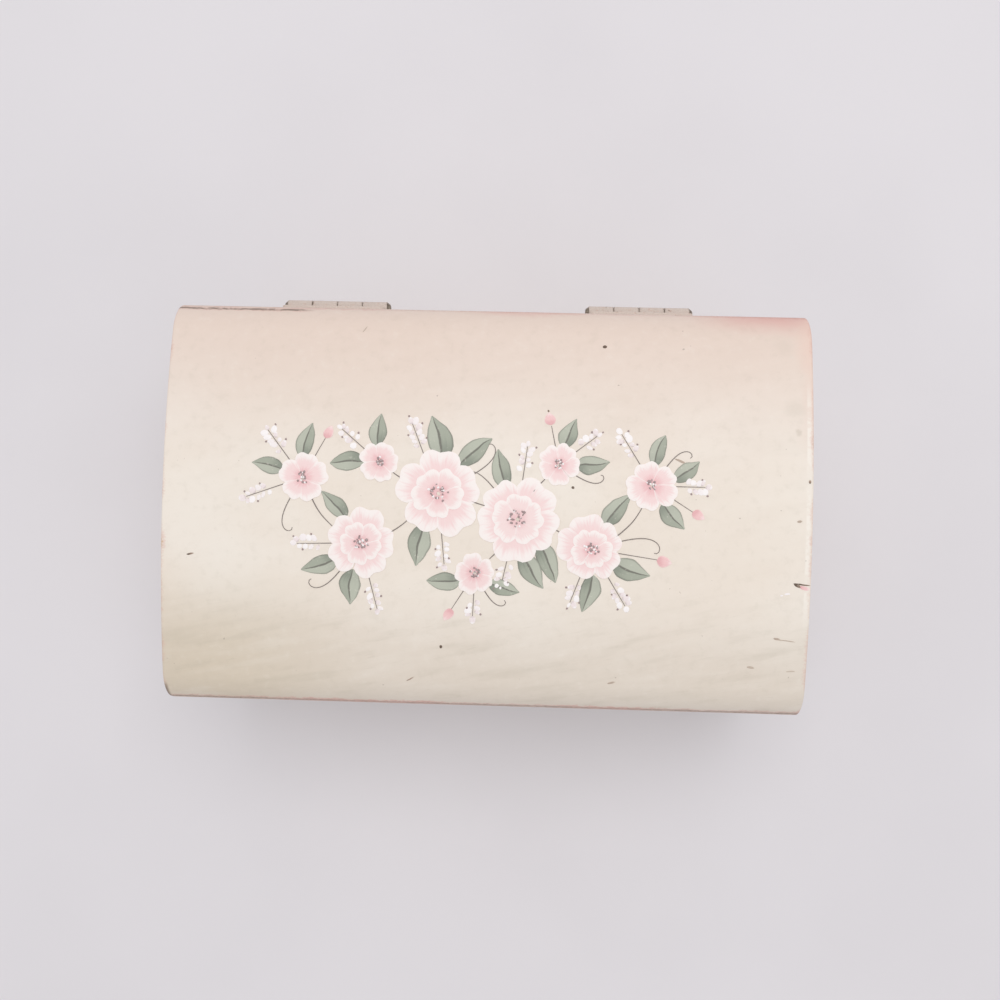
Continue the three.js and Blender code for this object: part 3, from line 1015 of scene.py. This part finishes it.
# Thin strokes of paint: deep at the foot, pale at the rim, with lines left by the bristles
def strokeMaterial(name, deep, middle, pale, glow=0.5, vein=None):
    material, bench, place = newMaterial(name)
    uv = bench.wire("ShaderNodeUVMap", uv_map="UVMap")
    tone = bench.wire("ShaderNodeAttribute", None, "Fac", attribute_name="tone")
    u, v, w = parts(uv)
    cross = abs(v - 0.5)
    shifted = {0: scaled(uv, (1.6, 17.0, 1.0)), 1: tone * 7.0}
    bristle = noise(bench.wire("ShaderNodeVectorMath", shifted, operation="ADD"), 1.0, 4.0, 0.6)
    stray = bristle - 0.5
    body = stray * 1.1 + ((tone - 0.5) * glow + ramp(u, 0.05, 0.65))
    color = mix(ramp(body, 0.0, 1.0), tint(*deep), tint(*middle))
    if vein:
        color = mix(ramp(v, 0.46, 0.54, 0.0, 0.6), color, tint(*pale))
        color = mix(ramp(cross, 0.065, 0.03, 0.0, 0.85), color, tint(*vein))
        color = mix(ramp(cross, 0.4, 0.48, 0.0, 0.5), color, tint(*vein))
    else:
        rim = most(ramp(u, 0.5, 1.0), ramp(cross, 0.34, 0.5, 0.0, 0.6))
        rim = (stray * 1.9 + rim) * ramp(tone, 0.05, 0.5)
        color = mix(most(ramp(rim, 0.1, 1.0), ramp(tone, 0.72, 1.0, 0.0, 0.9)), color, tint(*pale))
    worn = ramp(noise(place, 1.4, 3.0, 0.6), 0.58, 0.75, 0.0, 0.3)
    rough = ramp(bristle, 0.3, 0.7, 0.48, 0.62)
    return finishMaterial(material, bench, overlay(color, [(worn, "cream")]), rough, (bristle, 0.4, 0.08))


# Outlines of the strokes: each takes a share along and one across, and gives a place and a height
def petalShape(u, v):
    tip = 1.0 - 0.26 * abs(v) ** 3.5 - 0.08 * math.exp(-(v / 0.24) ** 2)
    radius = 0.08 + (tip - 0.08) * u
    ridge = 0.35 + 0.55 * math.exp(-((u - 0.87) / 0.1) ** 2)
    return radius * math.cos(0.68 * v), radius * math.sin(0.68 * v), ridge * math.sqrt(max(1 - v ** 4, 0))


def roundLift(u, v):
    return math.sqrt(max(1 - v * v, 0)) * math.sin(math.pi * min(max(u, 0.06), 0.94)) ** 0.5


def leafShape(u, v, bow=0.2):
    wide = max(0.26 * math.sin(math.pi * u ** 0.8) ** 0.85, 0.012)
    return u - bow * v * wide * u, v * wide + bow * u * u, roundLift(u, v)


def turnedLeafShape(u, v):
    return leafShape(u, v, -0.2)


def budShape(u, v):
    wide = max(0.36 * math.sin(math.pi * u ** 0.7) ** 0.8, 0.012)
    return u, v * wide, roundLift(u, v)


def dotShape(u, v):
    return u, v * max(math.sqrt(max(0.25 - (u - 0.5) ** 2, 0)), 0.012), roundLift(u, v)


# A stroke with a rounded top and a flat foot that sinks into the paint below
def strokeMesh(name, shape, columns, rows):
    mesh = bpy.data.meshes.new(name)
    bm = bmesh.new()
    layer = bm.loops.layers.uv.new("UVMap")
    top, bottom = [], []
    for i in range(columns + 1):
        rowTop, rowBottom = [], []
        for j in range(rows + 1):
            x, y, lift = shape(i / columns, j / rows * 2 - 1)
            rowTop.append(bm.verts.new((x, y, 0.2 + 0.8 * lift)))
            rowBottom.append(bm.verts.new((x, y, -0.6)))
        top.append(rowTop)
        bottom.append(rowBottom)

    def quad(corners, uvs):
        for loop, uv in zip(bm.faces.new(corners).loops, uvs):
            loop[layer].uv = uv

    def side(first, second, flip):
        (i, j), (k, m) = first, second
        corners = (top[i][j], bottom[i][j], bottom[k][m], top[k][m])
        quad(corners[::-1] if flip else corners, [(i / columns, j / rows)] * 4)

    for i in range(columns):
        for j in range(rows):
            uvs = [(i / columns, j / rows), ((i + 1) / columns, j / rows),
                   ((i + 1) / columns, (j + 1) / rows), (i / columns, (j + 1) / rows)]
            quad((top[i][j], top[i + 1][j], top[i + 1][j + 1], top[i][j + 1]), uvs)
            quad((bottom[i][j + 1], bottom[i + 1][j + 1], bottom[i + 1][j], bottom[i][j]), uvs[::-1])
        side((i, 0), (i + 1, 0), False)
        side((i, rows), (i + 1, rows), True)
    for i, flip in ((0, True), (columns, False)):
        for j in range(rows):
            side((i, j), (i, j + 1), flip)
    bmesh.ops.recalc_face_normals(bm, faces=bm.faces)
    bm.to_mesh(mesh)
    bm.free()
    return mesh


def layOverLid(bench, geometry):
    x, y, z = parts(bench.wire("GeometryNodeInputPosition"))
    bend = bench.group(archBend, {"Across": x, "Along": y, "Below": z * -1.0})
    return bench.wire("GeometryNodeSetPosition", {"Geometry": geometry, "Position": bend["Position"]})


# Lays flat strokes, placed and sized by each point's own values, over the rounded lid
def buildStrokeTree():
    tree, bench, given, result = newTree(
        "paintStrokes", "GeometryNodeTree",
        [("Geometry", "Geometry", None), ("Master", "Object", None), ("Drift", "Float", 0.0),
         ("Material", "Material", None)],
        [("Geometry", "Geometry")])
    copies = copiesOn(bench, given["Geometry"], given["Master"], Rotation=namedTurn(bench),
                      Scale=namedVector(bench, "size"))
    real = bench.wire("GeometryNodeRealizeInstances", {"Geometry": copies})
    # the hand is never quite steady, so outlines drift a little
    place = bench.wire("GeometryNodeInputPosition")
    unsteady = bench.wire("ShaderNodeTexNoise", {"Vector": place, "Scale": 190.0, "Detail": 2.0}, 1)
    centred = bench.wire("ShaderNodeVectorMath", {0: unsteady, 1: (0.5, 0.5, 0.5)}, operation="SUBTRACT")
    offset = scaled(centred, joined(bench, given["Drift"], given["Drift"], 0.0))
    loose = bench.wire("GeometryNodeSetPosition", {"Geometry": real, "Offset": offset})
    endTree(bench, layOverLid(bench, loose), given, result)
    return tree


# Thin lines of paint along given curves, tapering by the curve's own radius
def buildLineTree():
    tree, bench, given, result = newTree(
        "paintLines", "GeometryNodeTree",
        [("Geometry", "Geometry", None), ("Step", "Float", 0.0006), ("Width", "Float", 0.00015),
         ("Material", "Material", None)],
        [("Geometry", "Geometry")])
    fineLine = bench.wire("GeometryNodeResampleCurve", {"Curve": given["Geometry"], "Length": given["Step"]},
                          mode="LENGTH")
    ring = bench.wire("GeometryNodeCurvePrimitiveCircle", {"Resolution": 8, "Radius": given["Width"]})
    tube = bench.add("GeometryNodeCurveToMesh", {"Curve": fineLine, "Profile Curve": ring, "Fill Caps": True})
    if "Scale" in tube.inputs:
        bench.feed(tube.inputs["Scale"], bench.wire("GeometryNodeInputRadius"))
    endTree(bench, layOverLid(bench, Wire(bench, tube.outputs[0])), given, result)
    return tree


# Each stroke: across, along, height, turn, length, width, relief, tone
def layStrokes(name, tree, master, look, strokes):
    seed = pointMesh(name, [(x * mm, y * mm, z * mm) for x, y, z, *rest in strokes], {
        "turn": [(0.0, 0.0, s[3]) for s in strokes],
        "size": [(s[4] * mm, s[5] * mm, s[6] * mm) for s in strokes],
        "tone": [float(s[7]) for s in strokes],
    })
    sizes = {"Master": master, "Drift": garland["drift"] * mm, "Material": strokeLooks[look]}
    seat(growMesh(name, tree, sizes, seed, 50), "lid", "painted_wood")


def onward(x, y, degrees, far):
    turn = math.radians(degrees)
    return x + far * math.cos(turn), y + far * math.sin(turn)


# Where a twig leaves a blossom
def rimStart(blossom, degrees):
    x, y, radius = garland["blossoms"][blossom][:3]
    return onward(x, y, degrees, radius * 0.8)


def blossomStrokes():
    petals, dots, leaves = [], [], []
    relief = garland["relief"]
    for bx, by, radius, degrees, tone, leafTurns in garland["blossoms"]:
        rings = ((1.0, 0), (0.6, 36)) if radius > 7 else ((1.0, 0),)
        for level, (share, extra) in enumerate(rings):
            for i in range(5):
                turn = math.radians(degrees + extra + 72 * i + random.uniform(-4, 4))
                size = radius * share * random.uniform(0.93, 1.06)
                petals.append((bx, by, 0.02 + 0.012 * i + 0.07 * level, turn, size,
                               size * random.uniform(0.94, 1.05), relief, tone + 0.2 * level))
        for i in range(int(9 + radius * 1.9)):
            dx, dy = onward(bx, by, random.uniform(0, 360), radius * 0.21 * math.sqrt(random.random()))
            size = random.uniform(0.35, 0.7)
            dots.append((dx, dy, 0.1 + 0.07 * len(rings), random.uniform(0, 3), size, size, 0.12,
                         random.choice((0.0, 0.1, 0.3, 0.95))))
        for i, leafTurn in enumerate(leafTurns):
            lx, ly = onward(bx, by, leafTurn, radius * 0.75)
            length = (5.4 + 0.44 * radius) * random.uniform(0.92, 1.08)
            angle = math.radians(leafTurn + random.uniform(-12, 12))
            leaves.append((lx, ly, 0.008 + 0.006 * i, angle, length, length * random.uniform(0.9, 1.15),
                           relief * 0.65, random.uniform(0.3, 0.8)))
    return petals, dots, leaves


# Small pale dabs up both sides of a twig, with one at its tip
def twigDabs():
    dabs = []
    for blossom, degrees, length, count in garland["twigs"]:
        x, y = rimStart(blossom, degrees)
        for i in range(count):
            px, py = onward(x, y, degrees, length * (0.35 + 0.65 * i / (count - 1)))
            side = 0 if i == count - 1 else (-1) ** i
            out = degrees + side * random.uniform(40, 65)
            px, py = onward(px, py, out, 0.1 + 0.35 * abs(side))
            size = random.uniform(1.2, 2.0)
            dabs.append((px, py, 0.0, math.radians(out), size, size * random.uniform(0.6, 0.85), 0.11,
                         random.choice((0.8, 0.9, 1.0))))
            if i % 3 == 1:
                dabs.append((*onward(px, py, out, size), 0.03, math.radians(out), 0.5, 0.45, 0.1, 0.05))
    return dabs


def curledLine(x, y, degrees, length, curl, steps=18):
    path = [(x, y)]
    for i in range(steps):
        share = i / steps
        degrees += curl * (1.5 + 38 * share ** 2.4)
        path.append(onward(*path[-1], degrees, length / steps * (1.3 - 0.8 * share)))
    return path


def smoothPath(points, steps=7):
    path = []
    ends = [points[0]] + points + [points[-1]]
    for group in zip(ends, ends[1:], ends[2:], ends[3:]):
        for i in range(steps):
            t = i / steps
            path.append(tuple(0.5 * (2 * b + (c - a) * t + (2 * a - 5 * b + 4 * c - d) * t ** 2
                                     + (3 * b - a - 3 * c + d) * t ** 3) for a, b, c, d in zip(*group)))
    return path + [points[-1]]


# Cuts a line into the runs that no blossom covers
def outsideBlossoms(path):
    runs = [[]]
    for x, y in path:
        if all(math.hypot(x - b[0], y - b[1]) > 0.74 * b[2] for b in garland["blossoms"]):
            runs[-1].append((x, y))
        elif runs[-1]:
            runs.append([])
    return [run for run in runs if len(run) > 2]


# Every line of the garland, with its strength
def stemLines():
    lines = [(smoothPath(stem), 1.0) for stem in garland["stems"]]
    for blossom, turn, length, *rest in garland["twigs"] + garland["buds"]:
        x, y = rimStart(blossom, turn)
        lines.append(([onward(x, y, turn, length * share) for share in (0.0, 0.5, 1.02)], 0.75))
    for blossom, turn, length, curl in garland["tendrils"]:
        lines.append((curledLine(*rimStart(blossom, turn), turn, length, curl), 0.85))
    return lines


def stemCurve():
    curve = bpy.data.curves.new("stemLines", "CURVE")
    curve.dimensions = "3D"
    for path, strength in stemLines():
        for points in outsideBlossoms(path):
            spline = curve.splines.new("BEZIER")
            spline.bezier_points.add(len(points) - 1)
            for i, (point, (px, py)) in enumerate(zip(spline.bezier_points, points)):
                point.co = (px * mm, py * mm, -0.03 * mm)
                point.handle_left_type = point.handle_right_type = "AUTO"
                point.radius = strength * (1.0 - 0.3 * i / (len(points) - 1))
    return curve


def makeGarland(strokeTree, masters):
    random.seed(garland["seed"])
    petals, dots, leaves = blossomStrokes()
    buds = [(*onward(*rimStart(blossom, turn), turn, stem), 0.01, math.radians(turn), length, length, 0.13,
             random.uniform(0.4, 0.7)) for blossom, turn, stem, length in garland["buds"]]
    for name, master, look, strokes in (("paintedLeaves", "leaf", "leaves", leaves[::2]),
                                        ("paintedTurnedLeaves", "turnedLeaf", "leaves", leaves[1::2]),
                                        ("paintedBuds", "bud", "buds", buds),
                                        ("paintedBlossoms", "petal", "petals", petals),
                                        ("paintedDots", "dot", "dots", dots + twigDabs())):
        layStrokes(name, strokeTree, masters[master], look, strokes)
    stems = growMesh("paintedStems", buildLineTree(), {"Material": strokeLooks["stems"]}, stemCurve(), 60)
    seat(stems, "lid", "painted_wood")


# Stains, dents and end cracks left by age: middle across and along, direction, length, width, tone
lidMarks = [
    (27.3, 39.0, 20, 0.9, 0.8, 0.1), (-9.9, -33.3, 60, 0.8, 0.7, 0.1), (20.4, 5.3, 10, 0.7, 0.6, 0.1),
    (14.2, 23.0, 10, 0.5, 0.5, 0.4), (-69.2, -12.7, 20, 2.0, 0.4, 0.35), (45.4, 11.8, -27, 3.2, 0.5, 0.85),
    (48.2, 10.4, -20, 1.6, 0.4, 0.8), (74.0, -16.0, 1, 3.9, 0.35, 0.2), (73.0, -16.4, -32, 1.7, 0.75, 0.25),
    (75.2, 8.1, 85, 0.9, 0.6, 0.55), (73.1, -1.5, 5, 1.2, 0.5, 0.85), (71.0, -29.4, -6, 4.6, 0.3, 0.9),
    (68.8, -29.0, -4, 1.6, 0.5, 0.85), (63.2, -36.0, -8, 2.0, 0.55, 0.9), (72.4, -36.9, -5, 2.4, 0.3, 0.95),
    (30.7, -40.9, 5, 1.8, 0.45, 0.85), (-16.9, -41.4, 25, 2.5, 0.3, 0.75), (-29.7, 42.3, 55, 2.0, 0.22, 0.9),
]
pinkChips = [(74.6, -16.8, -7, 2.7, 1.0, 0.6)]
paleChips = [(70.8, -18.4, 12, 1.3, 0.55, 0.95), (69.6, -18.9, 5, 0.7, 0.4, 0.95)]
markRelief = 0.03


def makeMarks(strokeTree, dot):
    for name, look, height, places in (("lidPinkChips", "buds", -0.01, pinkChips),
                                       ("lidMarks", "marks", 0.0, lidMarks),
                                       ("lidPaleChips", "dots", 0.0, paleChips)):
        marks = []
        for x, y, degrees, length, width, tone in places:
            startX, startY = onward(x, y, degrees, -length / 2)
            marks.append((startX, startY, height, math.radians(degrees), length, width, markRelief, tone))
        layStrokes(name, strokeTree, dot, look, marks)


strokeLooks = {key: strokeMaterial(*colors) for key, colors in strokeColors.items()}
strokeShapes = {
    "petal": (petalShape, 16, 14),
    "leaf": (leafShape, 14, 8),
    "turnedLeaf": (turnedLeafShape, 14, 8),
    "bud": (budShape, 10, 8),
    "dot": (dotShape, 8, 6),
}
strokeMasters = {key: linked(key, strokeMesh(key, *shape)) for key, shape in strokeShapes.items()}
strokeTree = buildStrokeTree()
makeGarland(strokeTree, strokeMasters)
makeMarks(strokeTree, strokeMasters["dot"])
for master in strokeMasters.values():
    bpy.data.objects.remove(master)
print("garland and marks painted")

# What a user would change on the table, its light and the camera: metres, watts and screen colours
stageLook = {
    "floorSize": 3.0,
    "floorDrop": 0.0002,
    "floor": (226, 223, 227),
    "floorShade": (223, 220, 224),
    "worldColor": (1.0, 0.995, 1.0, 1.0),
    "worldStrength": 0.76,
    "keyColor": (1.0, 0.985, 0.97),
    "keyPower": 2.0,
    "keySize": 0.55,
    "keyPlace": (0.08, 0.25, 0.85),
    "keyAim": (0, 0, 0.05),
    "cameraPlace": (0.01009, -0.00177, 0.3342),
    "cameraTurn": (-0.0141, -0.0257, -0.0252),
    "focalPixels": 1105.4,
    "framePixels": 1000,
}


def makeFloor():
    size = stageLook["floorSize"] / 2
    mesh = bpy.data.meshes.new("table")
    corners = [(-size, -size, 0), (size, -size, 0), (size, size, 0), (-size, size, 0)]
    mesh.from_pydata(corners, [], [(0, 1, 2, 3)])
    floor = linked("table", mesh)
    floor.location.z = -stageLook["floorDrop"]
    material, bench, place = newMaterial("paleTable")
    cloud = noise(place, 0.01)
    color = mix(ramp(cloud, 0.35, 0.7), tint(*stageLook["floor"]), tint(*stageLook["floorShade"]))
    wearMaterial(floor, finishMaterial(material, bench, color, ramp(cloud, 0.3, 0.7, 0.75, 0.85), None))


def makeLights():
    world = bpy.data.worlds.new("softRoom")
    bpy.context.scene.world = world
    world.use_nodes = True
    background = world.node_tree.nodes["Background"]
    background.inputs["Color"].default_value = stageLook["worldColor"]
    background.inputs["Strength"].default_value = stageLook["worldStrength"]
    lamp = bpy.data.lights.new("key", "AREA")
    lamp.shape = "DISK"
    lamp.size = stageLook["keySize"]
    lamp.energy = stageLook["keyPower"]
    lamp.color = stageLook["keyColor"]
    key = linked("key", lamp)
    key.location = stageLook["keyPlace"]
    key.rotation_mode = "QUATERNION"
    key.rotation_quaternion = (Vector(stageLook["keyAim"]) - key.location).to_track_quat("-Z", "Y")


def makeCamera():
    lens = bpy.data.cameras.new("above")
    lens.sensor_width = 36.0
    lens.sensor_fit = "HORIZONTAL"
    lens.lens = stageLook["focalPixels"] * lens.sensor_width / stageLook["framePixels"]
    lens.clip_start = 0.01
    lens.clip_end = 20
    camera = linked("above", lens)
    rx, ry, rz = stageLook["cameraTurn"]
    turn = Matrix.Rotation(rz, 3, "Z") @ Matrix.Rotation(ry, 3, "Y") @ Matrix.Rotation(rx, 3, "X")
    camera.matrix_world = Matrix.Translation(stageLook["cameraPlace"]) @ turn.transposed().to_4x4()
    bpy.context.scene.camera = camera


makeFloor()
makeLights()
makeCamera()
bpy.context.scene.view_settings.view_transform = "Standard"
print("stage set")
